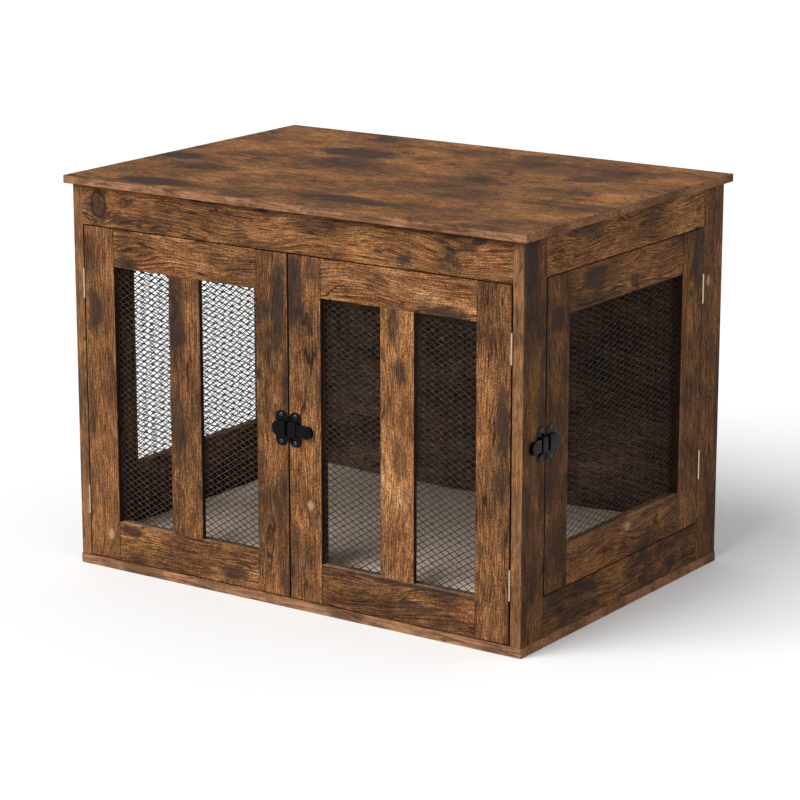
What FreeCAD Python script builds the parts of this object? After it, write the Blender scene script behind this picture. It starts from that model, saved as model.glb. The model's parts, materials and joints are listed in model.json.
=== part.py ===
import FreeCAD, Part
import math
import os

# Dog crate end table: a board cabinet with two mesh front doors, a mesh side
# door, a fixed mesh grille on the left, two sliding bolts and a floor cushion.
# Millimetres, +Z up. The origin is on the floor, under the middle of the cabinet.
# The front faces -Y and the side door is on the +X side.

os.makedirs("parts", exist_ok=True)

# ---------------------------------------------------------------- cabinet
cabinet_width = 800.0
cabinet_depth = 560.0
table_height = 606.0
top_thickness = 12.0
top_overhang = 10.0
base_thickness = 15.0
base_lip = 1.0
side_thickness = 17.5
post_width = 59.0
side_top_rail_height = 59.0
side_bottom_rail_height = 59.0
apron_height = 61.0
apron_thickness = 17.5
back_thickness = 12.0
edge_ease = 0.6

# ---------------------------------------------------------------- doors
door_thickness = 17.0
front_stile_width = 57.0
front_top_rail_height = 57.5
front_bottom_rail_height = 60.5
slat_width = 58.0
slat_thickness = 7.5
side_stile_width = 59.5
side_door_rail_height = 60.0
meeting_gap = 2.0
door_top_gap = 2.0
door_bottom_gap = 1.5
side_door_latch_gap = 2.0
side_door_bottom_gap = 2.0
grille_fit = 0.2

# ---------------------------------------------------------------- door stops
door_stop_gap = 0.5
stop_thickness = 12.0
stop_height = 36.0
stop_drop = 12.0

# ---------------------------------------------------------------- mesh
slat_mesh_gap = 0.5
mesh_thickness = 1.6
mesh_strand = 2.2
mesh_rim = 2.5
groove_depth = 6.0
groove_play = 0.2
mesh_end_play = 0.3
front_mesh_columns = 4
front_mesh_rows = 9
side_mesh_columns = 3
side_mesh_rows = 8

# ---------------------------------------------------------------- hinges
hinge_length = 45.0
knuckle_radius = 1.5
knuckle_play = 0.2
pin_radius = 0.75
pin_play = 0.05
pin_proud = 1.0
leaf_thickness = 0.8
leaf_play = 0.4
leaf_depth = 14.0
leaf_root = 0.3
barrel_rebate = 0.4
front_hinge_inset = 88.0
side_hinge_inset = 92.0

# ---------------------------------------------------------------- sliding bolts
front_latch_height = 273.0
side_latch_height = 300.0
latch_plate_width = 21.0
latch_plate_height = 52.0
latch_plate_thickness = 1.2
latch_plate_corner = 9.0
latch_plate_inset = 1.0
latch_wall = 1.2
latch_bevel = 0.9
bolt_height = 18.4
bolt_thickness = 2.8
bolt_lift = 1.0
bolt_play = 0.4
bolt_side_play = 0.7
bolt_end_radius = 8.0
bolt_tip_radius = 0.8
bolt_setback = 0.5
bolt_reach = 45.0
bridge_inset = 1.0
bridge_width = 13.0
knob_length = 11.0
knob_height = 3.5
dimple_gap = 5.5
dimple_radius = 2.4
dimple_height = 0.3
keeper_overhang = 3.5
keeper_mouth_inset = 1.0
latch_screw_inset = 6.0
latch_screw_head_radius = 3.6
latch_screw_crown_radius = 2.2
latch_screw_head_height = 2.0
latch_screw_radius = 1.5
latch_screw_length = 11.0

# ---------------------------------------------------------------- joinery
tenon_length = 30.0
tenon_width = 24.0
tenon_thickness = 5.0
tenon_play = 0.1
tenon_end_play = 0.4
top_tenon_length = 28.0
top_tenon_depth = 8.0
base_screw_radius = 3.2
base_screw_head_radius = 5.0
base_screw_length = 48.0
base_screw_recess = 1.0
screw_play = 0.1
round_sides = 12
cut_past = 1.0

# ---------------------------------------------------------------- cushion
cushion_edge_gap = 5.0
cushion_height = 34.0
cushion_draw_in = 9.0
cushion_corner = 34.0
cushion_clearance = 0.3

# ---------------------------------------------------------------- worked out
half_width = cabinet_width / 2
half_depth = cabinet_depth / 2
top_underside = table_height - top_thickness
side_height = top_underside - base_thickness
inner_half_width = half_width - side_thickness
hinge_gap = 2 * leaf_thickness + leaf_play
front_opening_top = top_underside - apron_height
front_door_bottom = base_thickness + door_bottom_gap
front_door_height = front_opening_top - door_top_gap - front_door_bottom
front_door_width = inner_half_width - meeting_gap / 2 - hinge_gap
side_opening_width = cabinet_depth - 2 * post_width
side_opening_bottom = base_thickness + side_bottom_rail_height
side_opening_height = side_height - side_top_rail_height - side_bottom_rail_height
side_door_width = side_opening_width - hinge_gap - side_door_latch_gap
side_door_bottom = side_opening_bottom + side_door_bottom_gap
side_door_height = side_opening_height - side_door_bottom_gap - door_top_gap
mesh_setback = slat_thickness + slat_mesh_gap
leaf_far_edge = pin_proud + leaf_depth
bolt_channel_height = bolt_height + 2 * bolt_side_play
bolt_channel_depth = bolt_lift + bolt_thickness + bolt_play
latch_depth = latch_plate_thickness + bolt_channel_depth + latch_wall
latch_screw_height = latch_plate_height / 2 - latch_screw_inset
latch_screw_places = (-latch_screw_height, latch_screw_height)


# ---------------------------------------------------------------- shape tools
def vec(x, y, z):
    return FreeCAD.Vector(x, y, z)


def block(x0, x1, y0, y1, z0, z1):
    """A plain box between two corners."""
    return Part.makeBox(x1 - x0, y1 - y0, z1 - z0, vec(x0, y0, z0))


def board(x0, x1, y0, y1, z0, z1):
    """A sawn board whose twelve edges are slightly eased."""
    sawn = block(x0, x1, y0, y1, z0, z1)
    return sawn.makeChamfer(edge_ease, sawn.Edges)


def round_bar(radius, length, start, direction, end_radius=None, hole=False):
    """A small round piece or the hole for one, drawn with many flat sides.

    A piece touches its radius with its corners and a hole with its flats, so a
    clearance between the two is the same all the way round while one turns.
    """
    reach = 1 / math.cos(math.pi / round_sides) if hole else 1
    aim = FreeCAD.Rotation(vec(0, 0, 1), direction)
    radii = (radius * reach, (radius if end_radius is None else end_radius) * reach)
    rings = []
    for height, ring_radius in zip((0, length), radii):
        turns = [2 * math.pi * side / round_sides for side in range(round_sides)]
        rings.append([
            start + aim.multVec(vec(ring_radius * math.cos(turn), ring_radius * math.sin(turn),
                                    height))
            for turn in turns])
    faces = [Part.Face(Part.makePolygon(ring + [ring[0]])) for ring in rings]
    lower, upper = rings
    for side in range(round_sides):
        after = (side + 1) % round_sides
        quad = [lower[side], lower[after], upper[after], upper[side], lower[side]]
        faces.append(Part.Face(Part.makePolygon(quad)))
    return Part.Solid(Part.makeShell(faces))


def rounded_outline(x0, x1, z0, z1, y, left_radius, right_radius):
    """A closed outline in a plane y whose left and right corners have their own radii."""
    slope = math.sqrt(0.5)
    corners = [
        (x1, z0, -1, 1, right_radius),
        (x1, z1, -1, -1, right_radius),
        (x0, z1, 1, -1, left_radius),
        (x0, z0, 1, 1, left_radius),
    ]
    arcs = []
    for index, (x, z, inward_x, inward_z, radius) in enumerate(corners):
        centre_x = x + inward_x * radius
        centre_z = z + inward_z * radius
        along_z = (centre_x, z)
        along_x = (x, centre_z)
        first, last = (along_z, along_x) if index % 2 == 0 else (along_x, along_z)
        middle = (centre_x - inward_x * radius * slope, centre_z - inward_z * radius * slope)
        arcs.append((first, middle, last))
    edges = []
    for index, (first, middle, last) in enumerate(arcs):
        start, bend, end = (vec(px, y, pz) for px, pz in (first, middle, last))
        edges.append(Part.Arc(start, bend, end).toShape())
        following = arcs[(index + 1) % len(arcs)][0]
        edges.append(Part.LineSegment(end, vec(following[0], y, following[1])).toShape())
    return Part.Wire(edges)


def rounded_plate(x0, x1, z0, z1, y0, y1, left_radius, right_radius):
    """A flat plate of that outline between two planes."""
    outline = rounded_outline(x0, x1, z0, z1, y0, left_radius, right_radius)
    return Part.Face(outline).extrude(vec(0, y1 - y0, 0))


def bevelled_plate(x0, x1, z0, z1, y0, y1, left_radius, right_radius, bevel):
    """The same plate with a bevel round its outer face, the one at y0."""
    body = rounded_plate(x0, x1, z0, z1, y0 + bevel, y1, left_radius, right_radius)
    rims = [
        rounded_outline(x0, x1, z0, z1, y0 + bevel, left_radius, right_radius),
        rounded_outline(x0 + bevel, x1 - bevel, z0 + bevel, z1 - bevel, y0,
                        max(left_radius - bevel, left_radius / 2),
                        max(right_radius - bevel, right_radius / 2)),
    ]
    return body.fuse(Part.makeLoft(rims, True, True))


def placed(shape, x, y, z, turn=0.0):
    """A copy turned about Z and then moved."""
    copy = shape.copy()
    copy.rotate(vec(0, 0, 0), vec(0, 0, 1), turn)
    copy.translate(vec(x, y, z))
    return copy


def flipped(shape):
    """A copy turned half way round about the Y axis, which swaps left and right."""
    copy = shape.copy()
    copy.rotate(vec(0, 0, 0), vec(0, 1, 0), 180)
    return copy


def save(name, *shapes):
    """Writes one solid, or several separate ones, as one named node."""
    solids = [solid for shape in shapes for solid in shape.Solids]
    node = solids[0] if len(solids) == 1 else Part.makeCompound(solids)
    node.exportStep("parts/" + name + ".step")


# ---------------------------------------------------------------- framed panels
# A panel is drawn lying against the XZ plane: x runs along its width from 0,
# z up its height from 0, its outer face is y = 0 and its inner face y = thickness.
def rail_tenons(width, thickness, stile, rail_heights, height, cut):
    """The loose tenons between rails and stiles, or the slightly larger slots for them."""
    play = tenon_play if cut else 0.0
    half_length = tenon_length / 2 + (tenon_end_play if cut else 0.0)
    half_thickness = tenon_thickness / 2 + play
    half_width = tenon_width / 2 + play
    bottom_rail, top_rail = rail_heights
    return [
        block(joint_x - half_length, joint_x + half_length,
              thickness / 2 - half_thickness, thickness / 2 + half_thickness,
              z - half_width, z + half_width)
        for z in (bottom_rail / 2, height - top_rail / 2)
        for joint_x in (stile, width - stile)]


def framed_panel(width, height, thickness, stile, bottom_rail, top_rail, grooved):
    """Two full-height stiles with two rails between them, slotted for their tenons."""
    pieces = {
        "near_stile": board(0, stile, 0, thickness, 0, height),
        "far_stile": board(width - stile, width, 0, thickness, 0, height),
        "bottom_rail": board(stile, width - stile, 0, thickness, 0, bottom_rail),
        "top_rail": board(stile, width - stile, 0, thickness, height - top_rail, height),
    }
    rails = (bottom_rail, top_rail)
    slots = rail_tenons(width, thickness, stile, rails, height, True)
    if grooved:
        slots.append(block(
            stile - groove_depth, width - stile + groove_depth,
            mesh_setback - groove_play, mesh_setback + mesh_thickness + groove_play,
            bottom_rail - groove_depth, height - top_rail + groove_depth))
    for name in pieces:
        pieces[name] = pieces[name].cut(slots)
    pieces["tenons"] = Part.makeCompound(
        rail_tenons(width, thickness, stile, rails, height, False))
    return pieces


def mesh_panel(width, height, stile, bottom_rail, top_rail, columns, rows):
    """Expanded steel mesh as one flat face with diamond holes, cut off straight at its rim."""
    reach = groove_depth - mesh_end_play
    left, right = stile - reach, width - stile + reach
    bottom, top = bottom_rail - reach, height - top_rail + reach
    half_x = (right - left - 2 * mesh_rim) / columns / 2
    half_z = (top - bottom - 2 * mesh_rim) / rows / 2
    strand_share = mesh_strand / 2 * math.hypot(half_x, half_z)
    open_x = half_x - strand_share / half_z
    open_z = half_z - strand_share / half_x

    def at(x, z):
        return vec(left + mesh_rim + x, mesh_setback, bottom + mesh_rim + z)

    def diamond(column, row):
        x, z = column * half_x, row * half_z
        tips = [
            at(x - open_x, z) if column > 0 else None,
            at(x, z + open_z) if row < 2 * rows else None,
            at(x + open_x, z) if column < 2 * columns else None,
            at(x, z - open_z) if row > 0 else None,
        ]
        tips = [tip for tip in tips if tip is not None]
        return Part.makePolygon(tips + [tips[0]])

    rim = Part.makePolygon([
        vec(x, mesh_setback, z)
        for x, z in ((left, bottom), (right, bottom), (right, top), (left, top), (left, bottom))])
    holes = [
        diamond(column, row)
        for column in range(2 * columns + 1)
        for row in range(2 * rows + 1)
        if (column + row) % 2 == 1]
    sheet = Part.Face([rim] + holes)
    return sheet.extrude(vec(0, mesh_thickness, 0))


# ---------------------------------------------------------------- hinges
# A hinge is drawn with its pin on the Z axis: the frame's leaf is on the +X side,
# the door's leaf on the -X side, and both reach back along +Y into the gap.
def leaf(side, segments):
    """One leaf with its knuckles: side is +1 for the frame's leaf and -1 for the door's."""
    near, far = sorted((side * leaf_play / 2, side * (leaf_play / 2 + leaf_thickness)))
    root_y = knuckle_radius + leaf_root
    plate = block(near, far, root_y, leaf_far_edge, -hinge_length / 2, hinge_length / 2)
    for low, high in segments:
        tongue = block(near, far, 0, root_y, low, high)
        barrel = round_bar(knuckle_radius, high - low, vec(0, 0, low), vec(0, 0, 1))
        plate = plate.fuse([tongue, barrel])
    bore = round_bar(pin_radius + pin_play, hinge_length + 2 * cut_past,
                     vec(0, 0, -hinge_length / 2 - cut_past), vec(0, 0, 1), hole=True)
    return plate.cut(bore).removeSplitter()


knuckle_length = hinge_length / 3
frame_knuckles = [
    (-hinge_length / 2, -knuckle_length / 2 - knuckle_play / 2),
    (knuckle_length / 2 + knuckle_play / 2, hinge_length / 2)]
door_knuckles = [(-knuckle_length / 2 + knuckle_play / 2, knuckle_length / 2 - knuckle_play / 2)]

frame_leaf = leaf(1, frame_knuckles)
door_leaf = leaf(-1, door_knuckles)
hinge_pin = Part.makeCylinder(pin_radius, hinge_length, vec(0, 0, -hinge_length / 2))
barrel_room = hinge_length / 2 + barrel_rebate
barrel_cut = round_bar(knuckle_radius + barrel_rebate, 2 * barrel_room,
                       vec(0, 0, -barrel_room), vec(0, 0, 1), hole=True)

front_hinge_heights = (
    front_door_bottom + front_hinge_inset,
    front_door_bottom + front_door_height - front_hinge_inset)
side_hinge_heights = (
    side_door_bottom + side_hinge_inset,
    side_door_bottom + side_door_height - side_hinge_inset)
front_pin_x = inner_half_width - hinge_gap / 2
front_pin_y = -half_depth - pin_proud
side_pin_x = half_width + pin_proud
side_pin_y = side_opening_width / 2 - hinge_gap / 2


def on_right_door(shape, height):
    return placed(shape, front_pin_x, front_pin_y, height)


def on_left_door(shape, height):
    return placed(flipped(shape), -front_pin_x, front_pin_y, height)


def on_side_door(shape, height):
    return placed(shape, side_pin_x, side_pin_y, height, 90)


# ---------------------------------------------------------------- sliding bolt
# A latch is drawn against the XZ plane with the gap that it crosses on x = 0,
# its bolt and housing on the +X side and its keeper on the -X side. Out is -Y.
def latch_plate(x0, x1):
    return rounded_plate(x0, x1, -latch_plate_height / 2, latch_plate_height / 2,
                         -latch_plate_thickness, 0, latch_plate_corner, latch_plate_corner)


def bolt_housing(plate_start):
    """The plate and the bridge pressed out of it, which the bolt slides under."""
    plate = latch_plate(plate_start, plate_start + latch_plate_width)
    half_channel = bolt_channel_height / 2
    half_bridge = half_channel + latch_wall
    bridge_start = plate_start + bridge_inset
    bridge = block(bridge_start, bridge_start + bridge_width, -latch_depth,
                   -latch_plate_thickness / 2, -half_bridge, half_bridge)
    outer_face = min(bridge.Faces, key=lambda face: face.CenterOfMass.y)
    bridge = bridge.makeChamfer(latch_bevel, outer_face.Edges)
    channel = block(bridge_start - cut_past, bridge_start + bridge_width + cut_past,
                    -latch_depth + latch_wall, -latch_plate_thickness, -half_channel, half_channel)
    return plate.fuse(bridge).cut(channel).removeSplitter()


def sliding_bolt(tip):
    """The flat bolt with a pressed dimple and the raised, rounded thumb end."""
    inner = -latch_plate_thickness - bolt_lift
    outer = inner - bolt_thickness
    half = bolt_height / 2
    bar = rounded_plate(tip, bolt_reach, -half, half, outer, inner, bolt_tip_radius,
                        bolt_end_radius)
    thumb = rounded_plate(bolt_reach - knob_length, bolt_reach, -half, half,
                          outer - knob_height, inner, bolt_tip_radius, bolt_end_radius)
    dimple_x = bolt_reach - knob_length - dimple_gap
    dimple = round_bar(dimple_radius, dimple_height, vec(dimple_x, outer, 0), vec(0, -1, 0),
                       dimple_radius - dimple_height)
    return bar.fuse([thumb, dimple]).removeSplitter()


def keeper(plate_end):
    """The plate on the other side of the gap, with the round-ended pocket for the bolt."""
    plate = latch_plate(plate_end - latch_plate_width, plate_end)
    half_channel = bolt_channel_height / 2
    half_pocket = half_channel + latch_wall
    far_end = plate_end - latch_plate_width - keeper_overhang
    mouth = plate_end - keeper_mouth_inset
    pocket = bevelled_plate(far_end, mouth, -half_pocket, half_pocket, -latch_depth, 0,
                            bolt_end_radius + latch_wall, bolt_tip_radius, latch_bevel)
    hollow = rounded_plate(far_end + latch_wall, mouth + latch_plate_corner, -half_channel,
                           half_channel, -latch_depth + latch_wall, -latch_plate_thickness,
                           bolt_end_radius, bolt_tip_radius)
    return plate.fuse(pocket).cut(hollow).removeSplitter()


def latch_screws(centre_x):
    """The pan-head screws at a plate's two ends."""
    screws = []
    for z in latch_screw_places:
        start = vec(centre_x, -latch_plate_thickness, z)
        step = vec(0, -latch_screw_head_height / 2, 0)
        rim = round_bar(latch_screw_head_radius, latch_screw_head_height / 2, start, vec(0, -1, 0))
        crown = round_bar(latch_screw_head_radius, latch_screw_head_height / 2, start + step,
                          vec(0, -1, 0), latch_screw_crown_radius)
        shank = round_bar(latch_screw_radius, latch_screw_length, start, vec(0, 1, 0))
        screws.append(rim.fuse([crown, shank]).removeSplitter())
    return Part.makeCompound(screws)


def latch_pilots(centre_x):
    """The holes that those screws make in the plate and the board."""
    return Part.makeCompound([
        round_bar(latch_screw_radius + screw_play, latch_screw_length + screw_play,
                  vec(centre_x, -latch_plate_thickness, z), vec(0, 1, 0), hole=True)
        for z in latch_screw_places])


def latch(gap):
    """Every piece of one latch that crosses a gap of this width."""
    near = gap / 2 + latch_plate_inset
    plate_middle = near + latch_plate_width / 2
    housing_pilots = latch_pilots(plate_middle)
    keeper_pilots = latch_pilots(-plate_middle)
    return {
        "housing": bolt_housing(near).cut(housing_pilots),
        "housing_screws": latch_screws(plate_middle),
        "housing_pilots": housing_pilots,
        "bolt": sliding_bolt(gap / 2 - bolt_setback),
        "keeper": keeper(-near).cut(keeper_pilots),
        "keeper_screws": latch_screws(-plate_middle),
        "keeper_pilots": keeper_pilots,
    }


front_latch = {
    name: placed(shape, 0, -half_depth, front_latch_height)
    for name, shape in latch(meeting_gap).items()}
side_gap_middle = -side_opening_width / 2 + side_door_latch_gap / 2
side_latch = {
    name: placed(flipped(shape), half_width, side_gap_middle, side_latch_height, 90)
    for name, shape in latch(side_door_latch_gap).items()}


# ---------------------------------------------------------------- side panels
post_centre_x = half_width - side_thickness / 2
post_centre_y = half_depth - post_width / 2
corners = [(sx * post_centre_x, sy * post_centre_y) for sx in (-1, 1) for sy in (-1, 1)]


def corner_tenons(play, end_play):
    """The upright tenons that hold the top board on the four posts, or their slots."""
    low = top_underside + top_tenon_depth - top_tenon_length - end_play
    high = top_underside + top_tenon_depth + end_play
    half_thickness = tenon_thickness / 2 + play
    half_width = tenon_width / 2 + play
    return [
        block(x - half_thickness, x + half_thickness, y - half_width, y + half_width, low, high)
        for x, y in corners]


def corner_bars(low_z, length, radius, end_radius, hole):
    return [
        round_bar(radius, length, vec(x, y, low_z), vec(0, 0, 1), end_radius, hole)
        for x, y in corners]


head_height = base_screw_head_radius - base_screw_radius
shank_start = base_screw_recess + head_height
base_screw_shanks = corner_bars(shank_start, base_screw_length, base_screw_radius, None, False)
base_screw_heads = corner_bars(base_screw_recess, head_height, base_screw_head_radius,
                               base_screw_radius, False)
base_screws = [
    shank.fuse(head).removeSplitter()
    for shank, head in zip(base_screw_shanks, base_screw_heads)]
hole_radius = base_screw_radius + screw_play
base_screw_holes = corner_bars(shank_start, base_screw_length + screw_play, hole_radius, None,
                               True)
base_screw_sinks = corner_bars(0, shank_start, hole_radius + shank_start, hole_radius, True)

outer_frame = framed_panel(cabinet_depth, side_height, side_thickness, post_width,
                           side_bottom_rail_height, side_top_rail_height, False)
right_frame = {
    name: placed(shape, half_width, -half_depth, base_thickness, 90)
    for name, shape in outer_frame.items()}
left_frame = {
    name: placed(shape, -half_width, half_depth, base_thickness, -90)
    for name, shape in outer_frame.items()}

front_left_cuts = [on_left_door(barrel_cut, z) for z in front_hinge_heights]
front_right_cuts = [on_right_door(barrel_cut, z) for z in front_hinge_heights]
side_rear_cuts = [on_side_door(barrel_cut, z) for z in side_hinge_heights]
top_slots = corner_tenons(tenon_play, tenon_end_play)
corner_holes = top_slots + base_screw_holes
save("right_front_post", right_frame["near_stile"].cut(
    corner_holes + front_right_cuts + [side_latch["housing_pilots"]]))
save("right_rear_post", right_frame["far_stile"].cut(corner_holes + side_rear_cuts))
save("right_bottom_rail", right_frame["bottom_rail"])
save("right_top_rail", right_frame["top_rail"])
save("left_front_post", left_frame["far_stile"].cut(corner_holes + front_left_cuts))
save("left_rear_post", left_frame["near_stile"].cut(corner_holes))
save("left_bottom_rail", left_frame["bottom_rail"])
save("left_top_rail", left_frame["top_rail"])

# The fixed grille fills the left frame as the side door fills the right one.
grille_width = side_opening_width - 2 * grille_fit
grille_height = side_opening_height - 2 * grille_fit
grille = framed_panel(grille_width, grille_height, door_thickness, side_stile_width,
                      side_door_rail_height, side_door_rail_height, True)
grille["mesh"] = mesh_panel(grille_width, grille_height, side_stile_width, side_door_rail_height,
                            side_door_rail_height, side_mesh_columns, side_mesh_rows)
grille = {
    name: placed(shape, -half_width, grille_width / 2, side_opening_bottom + grille_fit, -90)
    for name, shape in grille.items()}
save("left_grille_stiles", grille["near_stile"], grille["far_stile"])
save("left_grille_rails", grille["bottom_rail"], grille["top_rail"])
save("left_mesh", grille["mesh"])

# ---------------------------------------------------------------- top, base, back, apron
save("top_board", board(
    -half_width - top_overhang, half_width + top_overhang,
    -half_depth - top_overhang, half_depth + top_overhang,
    top_underside, table_height).cut(top_slots))
save("base_board", board(
    -half_width - base_lip, half_width + base_lip,
    -half_depth - base_lip, half_depth + base_lip,
    0, base_thickness).cut(base_screw_holes + base_screw_sinks))
save("back_panel", board(
    -inner_half_width, inner_half_width, half_depth - back_thickness, half_depth,
    base_thickness, top_underside))
save("front_apron", board(
    -inner_half_width, inner_half_width, -half_depth, -half_depth + apron_thickness,
    front_opening_top, top_underside))


def door_stop(length, frame_thickness):
    """A batten on the back of a frame piece, whose lower part stands just behind the door.

    x runs along it, y = 0 is the outer face of the frame and z = 0 the opening's top.
    The two parts are one flush board when the door and its gap are as thick as the frame.
    """
    rest = door_thickness + door_stop_gap
    back = max(frame_thickness, rest) + stop_thickness
    upper = block(-length / 2, length / 2, frame_thickness, back, 0, stop_height - stop_drop)
    lower = block(-length / 2, length / 2, rest, back, -stop_drop, 0)
    return upper.fuse(lower).removeSplitter()


save("front_door_stop", placed(
    door_stop(2 * inner_half_width, apron_thickness), 0, -half_depth, front_opening_top))
save("side_door_stop", placed(
    door_stop(side_opening_width, side_thickness), half_width, 0,
    side_opening_bottom + side_opening_height, 90))
save("frame_tenons", right_frame["tenons"], left_frame["tenons"], grille["tenons"],
     *corner_tenons(0.0, 0.0))
save("base_screws", *base_screws)


# ---------------------------------------------------------------- front doors
def front_door(side):
    """The pieces of one front door: side is +1 for the right door and -1 for the left."""
    door = framed_panel(front_door_width, front_door_height, door_thickness, front_stile_width,
                        front_bottom_rail_height, front_top_rail_height, True)
    door["mesh"] = mesh_panel(front_door_width, front_door_height, front_stile_width,
                              front_bottom_rail_height, front_top_rail_height,
                              front_mesh_columns, front_mesh_rows)
    slat_middle = front_door_width / 2
    door["slat"] = board(slat_middle - slat_width / 2, slat_middle + slat_width / 2,
                         0, slat_thickness,
                         front_bottom_rail_height, front_door_height - front_top_rail_height)
    left_edge = meeting_gap / 2 if side > 0 else -meeting_gap / 2 - front_door_width
    return {
        name: placed(shape, left_edge, -half_depth, front_door_bottom)
        for name, shape in door.items()}


for door_name, side, on_door, latch_part in (
        ("left_door", -1, on_left_door, "keeper"),
        ("right_door", 1, on_right_door, "housing")):
    door = front_door(side)
    hinge_stile, meeting_stile = ("near_stile", "far_stile") if side < 0 else \
        ("far_stile", "near_stile")
    hinge_cuts = [on_door(barrel_cut, z) for z in front_hinge_heights]
    save(door_name + "_hinge_stile", door[hinge_stile].cut(hinge_cuts))
    save(door_name + "_meeting_stile", door[meeting_stile].cut(
        [front_latch[latch_part + "_pilots"]]))
    for piece in ("top_rail", "bottom_rail", "slat", "mesh", "tenons"):
        save(door_name + "_" + piece, door[piece])
    save(door_name + "_hinge_leaves", *(on_door(door_leaf, z) for z in front_hinge_heights))

save("front_keeper", front_latch["keeper"])
save("front_keeper_screws", front_latch["keeper_screws"])
save("front_bolt_housing", front_latch["housing"])
save("front_housing_screws", front_latch["housing_screws"])
save("front_bolt", front_latch["bolt"])

# ---------------------------------------------------------------- side door
side_door = framed_panel(side_door_width, side_door_height, door_thickness, side_stile_width,
                         side_door_rail_height, side_door_rail_height, True)
side_door["mesh"] = mesh_panel(side_door_width, side_door_height, side_stile_width,
                               side_door_rail_height, side_door_rail_height,
                               side_mesh_columns, side_mesh_rows)
side_door = {
    name: placed(shape, half_width, -side_opening_width / 2 + side_door_latch_gap,
                 side_door_bottom, 90)
    for name, shape in side_door.items()}
side_hinge_cuts = [on_side_door(barrel_cut, z) for z in side_hinge_heights]
save("side_door_hinge_stile", side_door["far_stile"].cut(side_hinge_cuts))
save("side_door_latch_stile", side_door["near_stile"].cut([side_latch["keeper_pilots"]]))
for piece in ("top_rail", "bottom_rail", "mesh", "tenons"):
    save("side_door_" + piece, side_door[piece])
save("side_door_hinge_leaves", *(on_side_door(door_leaf, z) for z in side_hinge_heights))
save("side_keeper", side_latch["keeper"])
save("side_keeper_screws", side_latch["keeper_screws"])
save("side_bolt_housing", side_latch["housing"])
save("side_housing_screws", side_latch["housing_screws"])
save("side_bolt", side_latch["bolt"])


# ---------------------------------------------------------------- hinges on the cabinet
def at_every_hinge(shape):
    return [
        place(shape, z)
        for place, heights in (
            (on_left_door, front_hinge_heights),
            (on_right_door, front_hinge_heights),
            (on_side_door, side_hinge_heights))
        for z in heights]


save("hinge_frame_leaves", *at_every_hinge(frame_leaf))
save("hinge_pins", *at_every_hinge(hinge_pin))


# ---------------------------------------------------------------- cushion
cushion_half_x = inner_half_width - cushion_edge_gap
cushion_front = -half_depth + door_thickness + cushion_edge_gap
cushion_back = half_depth - back_thickness - cushion_edge_gap
cushion_half_y = (cushion_back - cushion_front) / 2
cushion_middle_y = (cushion_back + cushion_front) / 2


def cushion_outline(inset, height):
    """A rectangle with round corners and sides that draw in between them."""
    half_x = cushion_half_x - inset
    half_y = cushion_half_y - inset
    corner = cushion_corner
    bend = corner * (1 - math.sqrt(0.5))
    z = base_thickness + cushion_clearance + height

    def at(x, y):
        return vec(x, cushion_middle_y + y, z)

    edges = []
    for sx, sy in ((1, -1), (1, 1), (-1, 1), (-1, -1)):
        ends = [at(sx * (half_x - corner), sy * half_y), at(sx * half_x, sy * (half_y - corner))]
        if sx * sy > 0:
            ends.reverse()
        middle = at(sx * (half_x - bend), sy * (half_y - bend))
        edges.append(Part.Arc(ends[0], middle, ends[1]).toShape())
        if sx == -sy:
            drawn = at(sx * (half_x - cushion_draw_in), 0)
            far = at(sx * half_x, -sy * (half_y - corner))
        else:
            drawn = at(0, sy * (half_y - cushion_draw_in))
            far = at(-sx * (half_x - corner), sy * half_y)
        edges.append(Part.Arc(ends[1], drawn, far).toShape())
    return Part.Wire(edges)


# Each level of the cushion: how far its outline is set in, and its share of the height.
cushion_levels = [(10, 0.0), (0, 0.42), (16, 0.8), (80, 1.0)]
cushion_wires = [
    cushion_outline(inset, share * cushion_height) for inset, share in cushion_levels]
save("cushion", Part.makeLoft(cushion_wires, True, True))
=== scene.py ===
import json
import math

import bmesh
import bpy
from mathutils import Euler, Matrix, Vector
from mathutils.bvhtree import BVHTree


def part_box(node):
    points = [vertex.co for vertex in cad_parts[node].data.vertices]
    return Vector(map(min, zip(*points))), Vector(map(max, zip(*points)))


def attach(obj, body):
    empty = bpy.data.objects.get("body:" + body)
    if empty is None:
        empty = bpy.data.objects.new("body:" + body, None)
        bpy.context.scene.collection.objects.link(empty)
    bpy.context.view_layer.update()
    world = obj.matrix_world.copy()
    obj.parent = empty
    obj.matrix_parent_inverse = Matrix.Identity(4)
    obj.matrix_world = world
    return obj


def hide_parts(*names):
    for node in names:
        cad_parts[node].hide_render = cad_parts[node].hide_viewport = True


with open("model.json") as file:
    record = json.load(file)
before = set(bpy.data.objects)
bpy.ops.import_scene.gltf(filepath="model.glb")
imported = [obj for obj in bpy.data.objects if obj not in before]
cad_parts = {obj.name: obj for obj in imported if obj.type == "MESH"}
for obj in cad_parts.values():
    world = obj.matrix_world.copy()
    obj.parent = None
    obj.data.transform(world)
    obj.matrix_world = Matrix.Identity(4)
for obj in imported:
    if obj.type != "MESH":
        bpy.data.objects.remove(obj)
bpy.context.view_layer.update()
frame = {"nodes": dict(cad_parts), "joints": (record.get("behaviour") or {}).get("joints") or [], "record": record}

# ------------------------------------------------------------------ base board
# The base board carries the whole crate: chipboard under a rustic printed film, with a
# plainer, paler strip on its edges. Every other board has the same print, so the print,
# its scorched patches and its knots are built here as three effects, in metres.
VECTOR, NUMBER, COLOUR = "NodeSocketVector", "NodeSocketFloat", "NodeSocketColor"


def feed(tree, sockets, inputs):
    """Gives each named socket its value, or a link where the value is another socket."""
    for key, value in inputs.items():
        if isinstance(value, bpy.types.NodeSocket):
            tree.links.new(value, sockets[key])
        else:
            sockets[key].default_value = value


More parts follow.
